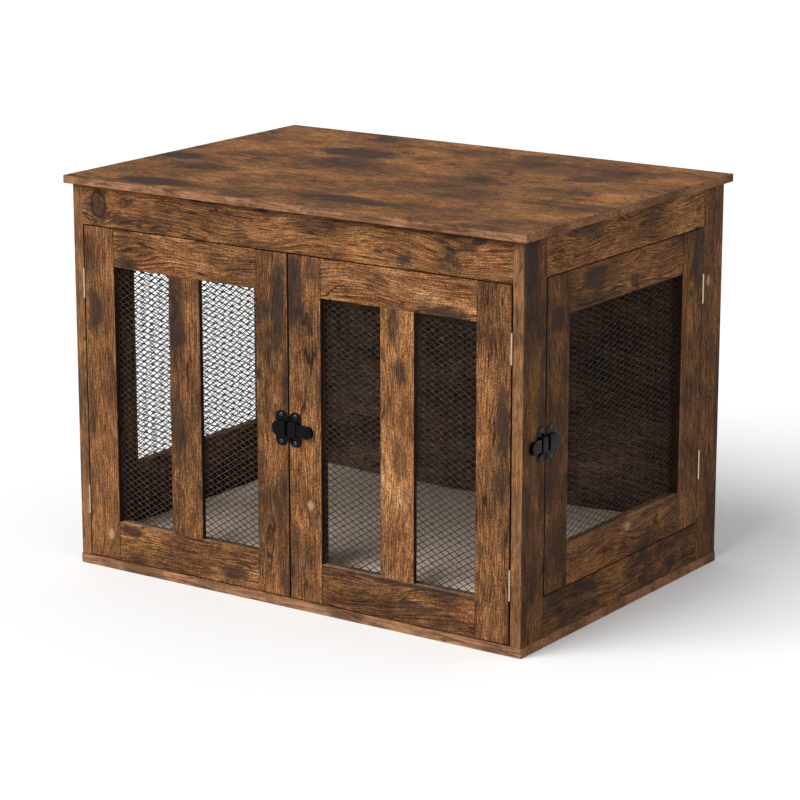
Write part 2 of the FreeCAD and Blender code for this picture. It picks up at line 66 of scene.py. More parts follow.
def add_node(tree, kind, inputs=None, **settings):
    """One node with its settings and its inputs."""
    node = tree.nodes.new(kind)
    for name, value in settings.items():
        setattr(node, name, value)
    feed(tree, node.inputs, inputs or {})
    return node


def calculate(tree, operation, *values):
    """One step of arithmetic on numbers or sockets."""
    return add_node(tree, "ShaderNodeMath", dict(enumerate(values)),
                    operation=operation).outputs[0]


def along_vectors(tree, operation, *values, result=0):
    """The same for vectors."""
    return add_node(tree, "ShaderNodeVectorMath", dict(enumerate(values)),
                    operation=operation).outputs[result]


def vector(tree, x=0.0, y=0.0, z=0.0):
    """A vector from three numbers or sockets."""
    return add_node(tree, "ShaderNodeCombineXYZ", {"X": x, "Y": y, "Z": z}).outputs[0]


def grey(tree, level):
    """A number as a grey, to multiply a colour by."""
    return vector(tree, level, level, level)


def clouds(tree, place, stretch, detail=2.0, rough=0.5):
    """Noise from 0 to 1, whose grains are 1 / stretch metres long in each direction."""
    scaled = along_vectors(tree, "MULTIPLY", place, stretch)
    return add_node(tree, "ShaderNodeTexNoise", {
        "Vector": scaled, "Scale": 1.0, "Detail": detail, "Roughness": rough}).outputs[0]


def ease(tree, value, low, high, to_low=0.0, to_high=1.0):
    """A smooth step from one level to another as the value goes from low to high."""
    return add_node(tree, "ShaderNodeMapRange", {
        "Value": value, "From Min": low, "From Max": high, "To Min": to_low,
        "To Max": to_high}, interpolation_type="SMOOTHSTEP").outputs[0]


def blended(tree, share, first, second, blend="MIX"):
    """One colour over another."""
    return add_node(tree, "ShaderNodeMix", {0: share, 6: first, 7: second},
                    data_type="RGBA", blend_type=blend).outputs[2]


def display(red, green, blue):
    """A colour given as it looks on screen, 0 to 255, as the linear one that a shader takes."""
    levels = [part / 255 for part in (red, green, blue)]
    return tuple(
        level / 12.92 if level < 0.04 else ((level + 0.055) / 1.055) ** 2.4
        for level in levels) + (1.0,)


def ramp(tree, value, stops):
    """A colour that runs through these stops as the value goes from 0 to 1."""
    node = add_node(tree, "ShaderNodeValToRGB", {0: value})
    shades = node.color_ramp.elements
    while len(shades) < len(stops):
        shades.new(0.5)
    for shade, (position, colour) in zip(shades, stops):
        shade.position, shade.color = position, display(*colour)
    return node.outputs[0]


def new_effect(name, inputs, outputs, kind="ShaderNodeTree"):
    """An empty node group with named sockets, what it is given and what it has to make."""
    group = bpy.data.node_groups.new(name, kind)
    for label, socket, value in inputs:
        entry = group.interface.new_socket(label, in_out="INPUT", socket_type=socket)
        if value is not None:
            entry.default_value = value
    for label, socket in outputs:
        group.interface.new_socket(label, in_out="OUTPUT", socket_type=socket)
    given, made = group.nodes.new("NodeGroupInput"), group.nodes.new("NodeGroupOutput")
    return group, given.outputs, made.inputs


def place_effect(tree, group, inputs):
    """One effect in a material, with its own values."""
    return add_node(tree, "ShaderNodeGroup", inputs, node_tree=group).outputs


def new_finish(name):
    """An empty material, its tree and its shader's sockets."""
    material = bpy.data.materials.new(name)
    material.use_nodes = True
    tree = material.node_tree
    return material, tree, tree.nodes["Principled BSDF"].inputs


# The print: x runs along the grain, y and z across it. Gold makes a board paler, and Soot
# gives it more dark patches.
TONES = ((0.0, (64, 46, 33)), (0.28, (101, 69, 45)), (0.5, (134, 90, 56)),
         (0.74, (166, 114, 70)), (1.0, (192, 143, 98)))
REDDISH_TINT, GOLDEN_TONE = display(238, 214, 216), display(150, 108, 56)
LATE_WOOD_TONE, SOOT_TONE, DASH_TONE = display(52, 31, 18), display(58, 45, 37), display(34, 21, 14)
TONE_SPREAD, TONE_BASE, GOLD_LIFT = 1.55, -0.54, 0.5
RING_SWING, RING_SHARPNESS = 9.0, 2.3
SOOT_MORE, SOOT_COVER, DASH_COVER = 0.14, 0.85, 0.85
# Each layer's grains per metre, along the board and twice across it.
SWAY, RINGS, RING_GAPS = (5, 14, 14), (2.5, 26, 26), (13, 55, 55)
STREAKS, FIBRES, SPECKS = (8, 260, 260), (45, 600, 600), (400, 430, 430)
REDDISH, GOLDEN, SOOT = (14, 21, 21), (11, 30, 30), (14, 19, 19)
DASHES, DASHED_SPOTS = (8, 90, 90), (17, 40, 40)
rustic_print, get, made = new_effect("rustic_print", [
    ("Vector", VECTOR, None),
    ("Shift", VECTOR, None),
    ("Wander", NUMBER, 0.03),
    ("Lines", NUMBER, 260.0),
    ("Line Depth", NUMBER, 0.75),
    ("Patch", VECTOR, (10, 18, 18)),
    ("Streaks", NUMBER, 0.9),
    ("Gold", NUMBER, 0.5),
    ("Soot", NUMBER, 0.5),
], [("Color", COLOUR), ("Roughness", NUMBER), ("Height", NUMBER)])
t = rustic_print
# The grain sways, and the yearly rings it cuts through come and go.
place = along_vectors(t, "ADD", get["Vector"], get["Shift"])
sway = calculate(t, "SUBTRACT", clouds(t, place, SWAY, 1.5), 0.5)
sway = calculate(t, "MULTIPLY", sway, get["Wander"])
grain = along_vectors(t, "ADD", place, vector(t, y=sway))
face = add_node(t, "ShaderNodeSeparateXYZ", {0: grain}).outputs
across = calculate(t, "ADD", face["Y"], face["Z"])
rings = calculate(t, "MULTIPLY", clouds(t, grain, RINGS, 2.0, 0.6), RING_SWING)
rings = calculate(t, "MULTIPLY_ADD", across, get["Lines"], rings)
late_wood = calculate(t, "POWER", calculate(t, "FRACT", rings), RING_SHARPNESS)
break_up = ease(t, clouds(t, grain, RING_GAPS, 3.0, 0.6), 0.32, 0.56)
late_wood = calculate(t, "MULTIPLY", late_wood, break_up)
late_wood = calculate(t, "MULTIPLY", late_wood, get["Line Depth"])
# Broad patches of tone carry the fine streaks.
streaks = clouds(t, grain, STREAKS, 5.0, 0.74)
patches = clouds(t, along_vectors(t, "MULTIPLY", grain, get["Patch"]), (1, 1, 1), 3.0, 0.6)
tone = calculate(t, "MULTIPLY_ADD", patches, TONE_SPREAD, TONE_BASE)
tone = calculate(t, "MULTIPLY_ADD", get["Gold"], GOLD_LIFT, tone)
centred = calculate(t, "SUBTRACT", streaks, 0.5)
tone = calculate(t, "MULTIPLY_ADD", centred, get["Streaks"], tone)
colour = ramp(t, tone, TONES)
# Some places are reddish and some golden, and the late wood of the rings is dark.
reddish = ease(t, clouds(t, place, REDDISH, 2.0), 0.50, 0.66, 0.0, 0.5)
colour = blended(t, reddish, colour, REDDISH_TINT, "MULTIPLY")
golden = ease(t, clouds(t, place, GOLDEN, 3.0, 0.6), 0.5, 0.66, 0.0, 0.4)
colour = blended(t, golden, colour, GOLDEN_TONE)
colour = blended(t, late_wood, colour, LATE_WOOD_TONE)
# Fibres and specks make all of it lighter or darker from one millimetre to the next.
fibres = clouds(t, grain, FIBRES, 2.0, 0.6)
speckle = clouds(t, place, SPECKS, 2.0, 0.7)
lift = calculate(t, "MULTIPLY", ease(t, fibres, 0.28, 0.72, 0.38, 1.62),
                 ease(t, speckle, 0.28, 0.72, 0.42, 1.58))
colour = along_vectors(t, "MULTIPLY", colour, grey(t, lift))
# Soot lies over the grain in dark patches, with short dark dashes here and there.
soot = clouds(t, place, SOOT, 5.0, 0.66)
soot = calculate(t, "ADD", soot, calculate(t, "MULTIPLY", get["Soot"], SOOT_MORE))
soot = ease(t, soot, 0.63, 0.73, 0.0, SOOT_COVER)
colour = blended(t, soot, colour, SOOT_TONE)
crossing = calculate(t, "SUBTRACT", clouds(t, grain, DASHES, 1.0), 0.5)
dash = ease(t, calculate(t, "ABSOLUTE", crossing), 0.008, 0.026, 1.0, 0.0)
dash = calculate(t, "MULTIPLY", dash, ease(t, clouds(t, place, DASHED_SPOTS, 1.0), 0.56, 0.64))
colour = blended(t, calculate(t, "MULTIPLY", dash, DASH_COVER), colour, DASH_TONE)
# The film is pressed along its fibres, and a little glossier on the pale streaks.
height = calculate(t, "ADD", calculate(t, "MULTIPLY", fibres, 0.4),
                   calculate(t, "MULTIPLY", streaks, 0.6))
height = calculate(t, "SUBTRACT", height, calculate(t, "MULTIPLY", dash, 0.8))
roughness = ease(t, streaks, 0.3, 0.7, 0.82, 0.68)
feed(t, made, {"Color": colour, "Roughness": roughness, "Height": height})

# A scorched patch: an oval with a ragged soft edge, over the ones placed before it. A pale
# plug has the same shape.
SCORCH_GRAINS, RAGGED = (48, 62, 62), 1.2
scorch, get, made = new_effect("scorch", [
    ("Vector", VECTOR, None),
    ("Centre", VECTOR, None),
    ("Reach", VECTOR, None),
    ("Depth", NUMBER, 0.8),
    ("Before", NUMBER, 0.0),
], [("Mask", NUMBER)])
t = scorch
offset = along_vectors(t, "SUBTRACT", get["Vector"], get["Centre"])
reach = along_vectors(t, "LENGTH", along_vectors(t, "DIVIDE", offset, get["Reach"]),
                      result="Value")
ragged = clouds(t, get["Vector"], SCORCH_GRAINS, 5.0, 0.68)
reach = calculate(t, "MULTIPLY_ADD", ragged, RAGGED, calculate(t, "SUBTRACT", reach, RAGGED / 2))
patch = calculate(t, "MULTIPLY", ease(t, reach, 0.55, 1.15, 1.0, 0.0), get["Depth"])
feed(t, made, {"Mask": calculate(t, "MAXIMUM", patch, get["Before"])})

# A knot: how far it bends the grain sideways, its heart, and its dark rings and rim.
KNOT_GRAINS, WOBBLE, PULL, PULL_FADE = (90, 120, 120), 0.5, 0.9, 0.35
KNOT_RINGS, RING_COVER = 24.0, 0.6
knot, get, made = new_effect("knot", [
    ("Vector", VECTOR, None),
    ("Centre", VECTOR, None),
    ("Reach", VECTOR, None),
    ("Bend Before", NUMBER, 0.0),
    ("Heart Before", NUMBER, 0.0),
    ("Rim Before", NUMBER, 0.0),
], [("Bend", NUMBER), ("Heart", NUMBER), ("Rim", NUMBER)])
t = knot
offset = along_vectors(t, "SUBTRACT", get["Vector"], get["Centre"])
reach = along_vectors(t, "LENGTH", along_vectors(t, "DIVIDE", offset, get["Reach"]),
                      result="Value")
wobble = clouds(t, get["Vector"], KNOT_GRAINS, 2.0)
reach = calculate(t, "MULTIPLY_ADD", wobble, WOBBLE, calculate(t, "SUBTRACT", reach, WOBBLE / 2))
pull = calculate(t, "MULTIPLY", calculate(t, "MULTIPLY", reach, reach), -PULL_FADE)
pull = calculate(t, "MULTIPLY", calculate(t, "EXPONENT", pull), -PULL)
sideways = add_node(t, "ShaderNodeSeparateXYZ", {0: offset}).outputs["Y"]
bend = calculate(t, "MULTIPLY_ADD", sideways, pull, get["Bend Before"])
heart = ease(t, reach, 0.75, 1.0, 1.0, 0.0)
rim = calculate(t, "ABSOLUTE", calculate(t, "SUBTRACT", reach, 1.0))
rim = ease(t, rim, 0.05, 0.30, 1.0, 0.0)
ringed = calculate(t, "SINE", calculate(t, "MULTIPLY", reach, KNOT_RINGS))
ringed = calculate(t, "MULTIPLY", calculate(t, "MULTIPLY", ringed, heart), RING_COVER)
rim = calculate(t, "MAXIMUM", rim, ringed)
feed(t, made, {
    "Bend": bend, "Heart": calculate(t, "MAXIMUM", heart, get["Heart Before"]),
    "Rim": calculate(t, "MAXIMUM", rim, get["Rim Before"])})

# How each board's pattern is turned, so that x runs along its grain.
GRAIN = {
    "across the front": (-90, 0, 0),
    "up the front": (90, 0, 90),
    "along the side": (-90, -90, 0),
    "up the side": (0, 90, 0),
    "across the top": (0, 0, 0),
}
MM = 0.001
FAR = 1000.0
SEED_STEPS = 1.37, 0.83, 2.11
HEART_TONE, RIM_TONE = display(92, 60, 38), display(40, 25, 17)
PLUG_TONE, SCORCH_TONE = display(196, 158, 126), display(47, 39, 35)
HEART_COVER, RIM_COVER, PLUG_COVER, SCORCH_COVER = 0.5, 0.8, 0.75, 0.88
PRESSED, PRESS_DEPTH = 0.35, 0.0006
TRIM_GRAINS = (13, 13, 13)


def printed_board(node, grain, seed, gold=0.5, soot=0.5, wander=0.03, lines=300.0, depth=0.8,
                  patch=(10, 18, 18), streaks=0.9, scorches=(), knots=(), plugs=(), edge=None,
                  painted_shade_grey=0.0, specular=0.12):
    """Gives a board its own stretch of the print. Places are in millimetres, along the grain
    and across it: a scorch has its place, two half sizes and a depth, a knot or a pale plug
    its place and two half sizes. The edge is a colour, an axis, and how much of that colour
    the faces across the axis and the other faces take: a real edge strip, or painted shade
    or a painted highlight on those faces. The grey share turns the print towards grey:
    painted shade for boards inside the crate."""
    material, t, shader = new_finish(node + "_print")
    coordinates = t.nodes.new("ShaderNodeTexCoord").outputs
    turned = add_node(t, "ShaderNodeMapping", {
        "Vector": coordinates["Object"],
        "Rotation": Euler([math.radians(angle) for angle in GRAIN[grain]])}).outputs[0]

    def spot(along, across, long, wide):
        return {"Vector": turned, "Centre": (along * MM, across * MM, 0),
                "Reach": (long * MM, wide * MM, FAR)}

    bend, heart, rim, pale, dark = 0.0, 0.0, 0.0, 0.0, 0.0
    for place in knots:
        bend, heart, rim = place_effect(t, knot, spot(*place) | {
            "Bend Before": bend, "Heart Before": heart, "Rim Before": rim})
    for place in plugs:
        pale = place_effect(t, scorch, spot(*place) | {"Depth": PLUG_COVER, "Before": pale})[0]
    for *place, strength in scorches:
        dark = place_effect(t, scorch, spot(*place) | {"Depth": strength, "Before": dark})[0]
    bent = turned
    if knots:
        bent = along_vectors(t, "ADD", turned, vector(t, y=bend))
    colour, rough, height = place_effect(t, rustic_print, {
        "Vector": bent, "Shift": tuple(seed * step for step in SEED_STEPS), "Wander": wander,
        "Lines": lines, "Line Depth": depth, "Patch": patch, "Streaks": streaks, "Gold": gold,
        "Soot": soot})
    if knots:
        colour = blended(t, calculate(t, "MULTIPLY", heart, HEART_COVER), colour, HEART_TONE)
        colour = blended(t, calculate(t, "MULTIPLY", rim, RIM_COVER), colour, RIM_TONE)
    if plugs:
        colour = blended(t, pale, colour, PLUG_TONE)
    if scorches:
        scorched = blended(t, SCORCH_COVER, colour, SCORCH_TONE)
        colour = blended(t, dark, colour, scorched)
    # Painted shade: the print turned towards grey, as on boards inside the crate.
    if painted_shade_grey:
        hueless = add_node(t, "ShaderNodeRGBToBW", {0: colour}).outputs[0]
        colour = blended(t, painted_shade_grey, colour, grey(t, hueless))
    # A real edge strip, or painted shade or a painted highlight, laid on the faces across the given axis.
    if edge:
        strip_or_painted_light_colour, axis, on_axis, off_axis = edge
        facing = add_node(t, "ShaderNodeSeparateXYZ", {0: coordinates["Normal"]})
        share = ease(t, calculate(t, "ABSOLUTE", facing.outputs[axis]), 0.35, 0.65, off_axis,
                     on_axis)
        fine = ease(t, height, 0.36, 0.64, 0.5, 1.46)
        broad = ease(t, clouds(t, coordinates["Object"], TRIM_GRAINS, 4.0, 0.65),
                     0.35, 0.6, 0.5, 1.16)
        strip_or_painted_light = along_vectors(t, "MULTIPLY", display(*strip_or_painted_light_colour)[:3],
                             grey(t, calculate(t, "MULTIPLY", fine, broad)))
        colour = blended(t, share, colour, strip_or_painted_light)
    bump = add_node(t, "ShaderNodeBump", {
        "Height": height, "Strength": PRESSED, "Distance": PRESS_DEPTH})
    feed(t, shader, {"Base Color": colour, "Roughness": rough, "Specular IOR Level": specular,
                     "Normal": bump.outputs[0]})
    frame["nodes"][node].data.materials[0] = material


EDGE_STRIP = (160, 116, 86), 2, 0.0, 0.88
printed_board("base_board", "across the front", 1.0, edge=EDGE_STRIP)

# ------------------------------------------------------------------ side frames
# Two frames of four boards each stand on the base board, one at each end. Their posts run
# up from the base to the top board, and their rails are set between the posts.
POST_FRONT = (176, 126, 84), 1, 0.42, 0.0
printed_board("right_front_post", "up the side", 2.3, gold=0.05, soot=0.4, edge=POST_FRONT,
              scorches=[(560, -262, 50, 22, 0.8), (180, -272, 60, 14, 0.7),
                        (470, -272, 60, 10, 0.6), (330, -238, 60, 12, 0.5)])
printed_board("right_rear_post", "up the side", 5.1, gold=0.35, soot=0.4,
              plugs=[(450, 238, 9, 6)],
              scorches=[(270, 272, 110, 9, 0.7), (70, 262, 40, 18, 0.6)])
printed_board("right_top_rail", "along the side", 7.7, gold=0.75, soot=0.2, wander=0.07,
              lines=230, scorches=[(-120, 590, 60, 12, 0.8), (205, 563, 10, 8, 0.7)])
printed_board("right_bottom_rail", "along the side", 3.9, gold=0.2, soot=0.7,
              scorches=[(22, 50, 26, 14, 0.7), (-120, 30, 60, 10, 0.5)])
printed_board("left_front_post", "up the side", 4.4, gold=0.3, soot=0.5, edge=POST_FRONT)
printed_board("left_rear_post", "up the side", 6.2, gold=0.4)
printed_board("left_top_rail", "along the side", 8.8, gold=0.6, wander=0.07, lines=230)
printed_board("left_bottom_rail", "along the side", 9.5, gold=0.3, soot=0.7)

# ------------------------------------------------------------------ back and apron
# The back is one thin board between the rear posts. The apron closes the front above the
# doors, and battens behind it and behind the right top rail stop the doors.
# Its print is turned towards grey: painted shade of the crate's inside.
printed_board("back_panel", "across the front", 12.6, gold=0.42, soot=0.6, painted_shade_grey=0.4)
printed_board("front_apron", "across the front", 14.2, gold=0.55, soot=0.35, wander=0.045,
              lines=240, knots=[(-350, 566, 13, 19)],
              scorches=[(-308, 545, 22, 9, 0.8), (-352, 566, 34, 26, 0.45),
                        (-105, 578, 10, 5, 0.8), (-150, 590, 34, 6, 0.5), (40, 578, 60, 12, 0.45),
                        (-30, 588, 40, 8, 0.5), (215, 592, 50, 6, 0.5)])
printed_board("front_door_stop", "across the front", 15.5)
printed_board("side_door_stop", "along the side", 16.5)

# ------------------------------------------------------------------ top board
# The thin top board overhangs the cabinet all round. Its print has wide smoky ovals, and
# its edge strip is the same pale tan as the base board's.
printed_board("top_board", "across the top", 20.4, gold=0.25, soot=0.3, wander=0.05, lines=190,
              depth=0.3, patch=(9, 11, 11), streaks=0.35, edge=EDGE_STRIP, specular=0.04,
              scorches=[(-160, 122, 100, 42, 1.0), (-130, 35, 70, 60, 0.6),
                        (-370, -48, 52, 30, 0.95), (-290, -112, 66, 32, 0.8),
                        (-262, -252, 76, 34, 1.0), (-90, -272, 40, 14, 0.7),
                        (62, -214, 96, 30, 1.0), (252, 122, 40, 36, 0.9), (90, 235, 30, 32, 0.8),
                        (-195, 245, 28, 36, 0.7), (160, 175, 160, 84, 0.55),
                        (130, -72, 90, 52, 0.6), (330, -25, 80, 7, 0.6), (340, -60, 76, 6, 0.65),
                        (330, -88, 80, 7, 0.6), (230, -215, 190, 34, 0.45), (-15, 100, 3, 8, 0.9),
                        (40, 100, 3, 8, 0.9)])

# ------------------------------------------------------------------ left grille
# The left opening holds a fixed grille: a frame of four boards like the side door's, round
# a mesh panel of its own.
# The grille's print is turned a little towards grey: painted shade of the crate's inside.
printed_board("left_grille_stiles", "up the side", 22.7, gold=0.35, soot=0.5, painted_shade_grey=0.2)
printed_board("left_grille_rails", "along the side", 23.4, gold=0.35, soot=0.5, painted_shade_grey=0.2)

# ------------------------------------------------------------------ front doors
# Each front door is two stiles, two rails and an upright slat down the middle of the
# window. The faces of its stiles and slat across the door are painted near-black: painted
# shade of the window recesses.
# Painted shade: the stiles' and slats' faces across the door are made near-black, as the shade in the window
# recesses.
PAINTED_WINDOW_SHADE = (26, 19, 15), 0, 0.9, 0.0
# Painted highlight: the bottom rails' faces across the height, the ledge under each window among them, are made
# paler.
PAINTED_LEDGE_HIGHLIGHT = (160, 130, 106), 2, 0.4, 0.0
printed_board("left_door_hinge_stile", "up the front", 31.3, gold=0.47, soot=0.2,
              edge=PAINTED_WINDOW_SHADE, plugs=[(55, -341, 9, 6)],
              scorches=[(402, -364, 42, 16, 0.9), (250, -372, 60, 9, 0.75),
                        (480, -366, 26, 12, 0.5)])
printed_board("left_door_meeting_stile", "up the front", 32.9, gold=0.3, soot=0.3,
              edge=PAINTED_WINDOW_SHADE, knots=[(96, -36, 22, 7)],
              scorches=[(455, -18, 75, 16, 0.9), (165, -16, 50, 14, 0.7), (330, -6, 70, 6, 0.7),
                        (40, -12, 30, 10, 0.5)])
printed_board("left_door_top_rail", "across the front", 33.7, gold=0.65, soot=0.15,
              wander=0.07, lines=210, depth=0.95, scorches=[(-300, 482, 26, 9, 0.7)])
printed_board("left_door_bottom_rail", "across the front", 34.1, gold=0.55, soot=0.4, edge=PAINTED_LEDGE_HIGHLIGHT,
              scorches=[(-302, 66, 26, 10, 0.9), (-104, 36, 30, 14, 0.9),
                        (-290, 26, 24, 9, 0.6)])
printed_board("left_door_slat", "up the front", 35.6, gold=0.42, soot=0.1,
              edge=PAINTED_WINDOW_SHADE, knots=[(425, -214, 16, 10)],
              scorches=[(455, -206, 34, 18, 0.8), (400, -204, 44, 20, 0.9),
                        (255, -208, 62, 20, 0.85), (290, -172, 50, 10, 0.4)])
printed_board("right_door_hinge_stile", "up the front", 36.8, gold=0.42, soot=0.2,
              edge=PAINTED_WINDOW_SHADE, lines=230,
              scorches=[(330, 368, 70, 12, 0.9), (255, 366, 40, 10, 0.6), (70, 352, 60, 12, 0.35)])
printed_board("right_door_meeting_stile", "up the front", 37.4, gold=0.68, soot=0.2,
              edge=PAINTED_WINDOW_SHADE, plugs=[(163, 38, 9, 7)],
              scorches=[(480, 12, 70, 18, 0.9), (515, 40, 24, 14, 0.7), (80, 8, 60, 10, 0.6)])
printed_board("right_door_top_rail", "across the front", 38.2, gold=0.9, soot=0.1,
              wander=0.05, lines=210, depth=0.95,
              scorches=[(270, 478, 42, 13, 0.95), (238, 486, 16, 12, 0.6)])
printed_board("right_door_bottom_rail", "across the front", 39.6, gold=0.2, soot=0.25, edge=PAINTED_LEDGE_HIGHLIGHT,
              wander=0.07, lines=220, depth=0.95,
              scorches=[(190, 74, 110, 5, 0.85), (222, 42, 30, 9, 0.7)])
printed_board("right_door_slat", "up the front", 40.7, gold=0.82, soot=0.1, depth=0.4,
              edge=PAINTED_WINDOW_SHADE,
              scorches=[(448, 184, 36, 10, 0.8), (385, 196, 22, 10, 0.6), (255, 196, 30, 14, 0.55),
                        (320, 200, 34, 6, 0.5)])

# ------------------------------------------------------------------ side door
# The side door is built like the front ones, but has no slat. It hangs from the rear post,
# and its front stile carries the keeper of the latch.
# Painted shade: the stiles' faces across the door are made near-black, as the shade in the window recess.
PAINTED_SIDE_WINDOW_SHADE = (26, 19, 15), 1, 0.9, 0.0
printed_board("side_door_hinge_stile", "up the side", 41.2, gold=0.28, soot=0.4,
              edge=PAINTED_SIDE_WINDOW_SHADE,
              scorches=[(495, 205, 60, 20, 0.8), (360, 186, 12, 7, 0.7), (90, 205, 30, 12, 0.5)])
printed_board("side_door_latch_stile", "up the side", 42.5, gold=-0.08, soot=0.3,
              edge=PAINTED_SIDE_WINDOW_SHADE,
              scorches=[(468, -192, 20, 22, 0.9), (250, -205, 60, 10, 0.5)])
printed_board("side_door_top_rail", "along the side", 43.3, gold=0.35, soot=0.3,
              wander=0.07, lines=230, scorches=[(-90, 512, 36, 18, 0.85), (18, 492, 14, 10, 0.7)])
printed_board("side_door_bottom_rail", "along the side", 44.9, gold=0.4, soot=0.3, edge=PAINTED_LEDGE_HIGHLIGHT,
              wander=0.07, lines=230, plugs=[(10, 122, 8, 6)])

# ------------------------------------------------------------------ hidden tenons
# Loose beech tenons are glued into slots in the boards. They join rails to stiles and posts,
# and hold the top board.
BEECH, PALE_BEECH = display(196, 160, 118), display(222, 190, 150)
for node in ("frame_tenons", "left_door_tenons", "right_door_tenons", "side_door_tenons"):
    material, t, shader = new_finish(node + "_beech")
    coordinates = t.nodes.new("ShaderNodeTexCoord").outputs["Object"]
    flecks = clouds(t, coordinates, (300, 300, 900), 3.0)
    feed(t, shader, {"Base Color": blended(t, flecks, BEECH, PALE_BEECH), "Roughness": 0.7})
    frame["nodes"][node].data.materials[0] = material

# ------------------------------------------------------------------ mesh panels
# Each window has a panel of expanded steel mesh in a groove in the back of its frame. The
# sheet is slit and stretched, so every diamond is tilted a little, and it is coated black.
COAT, WORN_COAT = display(52, 47, 42), display(82, 74, 66)
black_coat, t, shader = new_finish("black_mesh_coat")
coordinates = t.nodes.new("ShaderNodeTexCoord").outputs["Object"]
worn = clouds(t, coordinates, (120, 120, 120), 3.0, 0.6)
feed(t, shader, {
    "Base Color": blended(t, ease(t, worn, 0.4, 0.8), COAT, WORN_COAT),
    "Roughness": ease(t, worn, 0.3, 0.7, 0.28, 0.42), "Specular IOR Level": 0.07})

mesh_tree, get, made = new_effect("expanded_mesh", [
    ("Geometry", "NodeSocketGeometry", None),
    ("Columns", "NodeSocketInt", 18),
    ("Rows", "NodeSocketInt", 42),
    ("Width", NUMBER, 0.277),
    ("Height", NUMBER, 0.408),
    ("Strand", NUMBER, 0.0015),
    ("Gauge", NUMBER, 0.0011),
    ("Tilt", NUMBER, 0.04),
    ("Middle", VECTOR, None),
    ("Turn", NUMBER, 0.0),
    ("Coat", "NodeSocketMaterial", None),
], [("Geometry", "NodeSocketGeometry")], "GeometryNodeTree")
t = mesh_tree
pitch_x = calculate(t, "DIVIDE", get["Width"], get["Columns"])
pitch_z = calculate(t, "DIVIDE", get["Height"], get["Rows"])
lattice = add_node(t, "GeometryNodeMeshGrid", {
    "Size X": calculate(t, "SUBTRACT", get["Width"], pitch_x),
    "Size Y": calculate(t, "SUBTRACT", get["Height"], pitch_z),
    "Vertices X": get["Columns"], "Vertices Y": get["Rows"]})
diamond = add_node(t, "GeometryNodeMeshCircle", {"Vertices": 4, "Radius": 0.5})
diamond = add_node(t, "GeometryNodeTransform", {
    "Geometry": diamond.outputs[0],
    "Scale": vector(t, pitch_x, pitch_z, 1.0)})
outline = add_node(t, "GeometryNodeMeshToCurve", {"Mesh": diamond.outputs[0]})
section = add_node(t, "GeometryNodeCurvePrimitiveCircle", {"Resolution": 8, "Radius": 0.5})
section = add_node(t, "GeometryNodeTransform", {
    "Geometry": section.outputs[0],
    "Scale": vector(t, get["Strand"], get["Gauge"], 1.0)})
link = add_node(t, "GeometryNodeCurveToMesh", {
    "Curve": outline.outputs[0], "Profile Curve": section.outputs[0]})
link = add_node(t, "GeometryNodeSetShadeSmooth", {"Geometry": link.outputs[0]})
links = add_node(t, "GeometryNodeInstanceOnPoints", {
    "Points": lattice.outputs[0], "Instance": link.outputs[0],
    "Rotation": vector(t, get["Tilt"])})
real = add_node(t, "GeometryNodeRealizeInstances", {"Geometry": links.outputs[0]})
upright = add_node(t, "GeometryNodeTransform", {
    "Geometry": real.outputs[0], "Rotation": (math.pi / 2, 0, 0)})
placed = add_node(t, "GeometryNodeTransform", {
    "Geometry": upright.outputs[0], "Translation": get["Middle"],
    "Rotation": vector(t, z=get["Turn"])})
coated = add_node(t, "GeometryNodeSetMaterial", {
    "Geometry": placed.outputs[0], "Material": get["Coat"]})
feed(t, made, {"Geometry": coated.outputs[0]})


def new_piece(name, data):
    """A new thing in the scene."""
    piece = bpy.data.objects.new(name, data)
    bpy.context.scene.collection.objects.link(piece)
    return piece


def plain_mesh(piece):
    """What a thing and its modifiers make, as a mesh of its own."""
    depsgraph = bpy.context.evaluated_depsgraph_get()
    return bpy.data.meshes.new_from_object(piece.evaluated_get(depsgraph), depsgraph=depsgraph)


def settle(piece):
    """Turns what a piece's modifiers make into its own plain mesh."""
    result = plain_mesh(piece)
    piece.modifiers.clear()
    piece.data = result


def grown(name, tree, values, places=()):
    """Runs a tree with these inputs, on these points, and keeps its result as a plain mesh."""
    points = bpy.data.meshes.new(name)
    points.from_pydata(places, [], [])
    piece = new_piece(name, points)
    modifier = piece.modifiers.new("grow", "NODES")
    modifier.node_group = tree
    for item in tree.interface.items_tree:
        if item.in_out == "INPUT" and item.name in values:
            modifier[item.identifier] = values[item.name]
    settle(piece)
    return piece


FRONT_PITCH, SIDE_PITCH = Vector((0.0155, 0.0096)), Vector((0.022, 0.0095))
ENDWAYS = math.pi / 2
for node, body, pitch, strand, turn in (
        ("left_mesh", "crate", SIDE_PITCH, 0.0025, ENDWAYS),
        ("left_door_mesh", "left_door", FRONT_PITCH, 0.0020, 0.0),
        ("right_door_mesh", "right_door", FRONT_PITCH, 0.0020, 0.0),
        ("side_door_mesh", "side_door", SIDE_PITCH, 0.0013, ENDWAYS)):
    low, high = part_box(node)
    size, middle = high - low, (high + low) / 2
    width = size.y if turn else size.x
    panel = grown(node + "_expanded", mesh_tree, {
        "Columns": round(width / pitch.x), "Rows": round(size.z / pitch.y),
        "Width": width, "Height": size.z, "Strand": strand, "Middle": tuple(middle),
        "Turn": turn, "Coat": black_coat})
    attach(panel, body)
    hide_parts(node)

# ------------------------------------------------------------------ hinges
# Small butt hinges of bright zinc-plated steel, two on each door: two leaves in the gap,
# interleaved knuckles and a pin, with two countersunk screws in each leaf.
BODY_OF = {node: body for body, nodes in frame["record"]["behaviour"]["bodies"].items()
           for node in nodes}
SHARP = math.radians(40)


